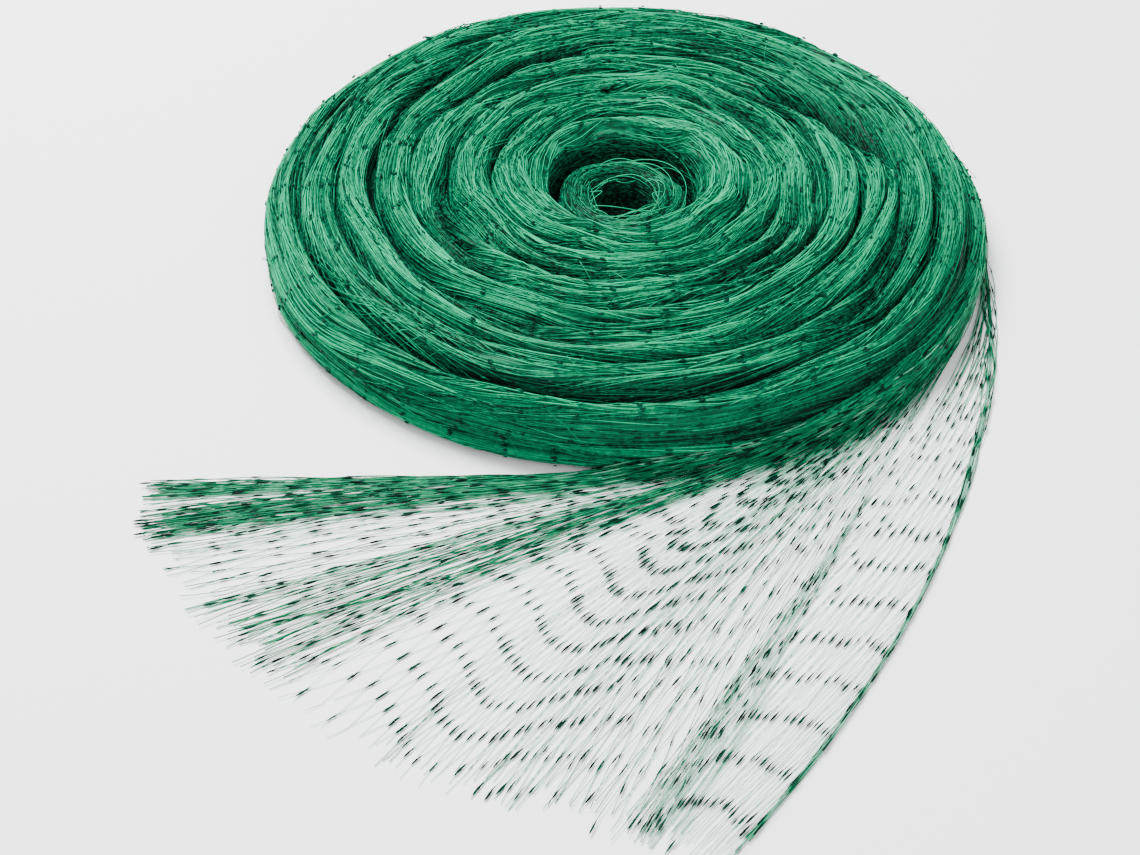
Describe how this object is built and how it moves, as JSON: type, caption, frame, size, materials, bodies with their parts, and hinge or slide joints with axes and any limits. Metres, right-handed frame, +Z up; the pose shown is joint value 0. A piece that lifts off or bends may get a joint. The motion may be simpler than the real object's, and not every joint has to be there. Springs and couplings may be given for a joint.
{
  "type": "bird netting roll",
  "caption": "Coreless flat-wound roll of fine knotted garden net, pulled nearly shut, with its loose end fanned out on the ground.",
  "frame": {"origin": "on the surface that the roll lies on, at the middle of the bounding box of the roll and its loose end", "axes": "+Z up along the winding axis, +X to the right of the picture, -Y towards the viewer, where the loose end lies"},
  "size_m": [0.2936, 0.4176, 0.0327],
  "materials": {
    "wound_net": "bunched fine green filaments with a soft gloss and dark knots",
    "loose_net": "fine pale green filaments with dark green knots"
  },
  "bodies": {
    "root": {"wound_roll": "wound_net", "loose_end": "loose_net"}
  },
  "joints": []
}
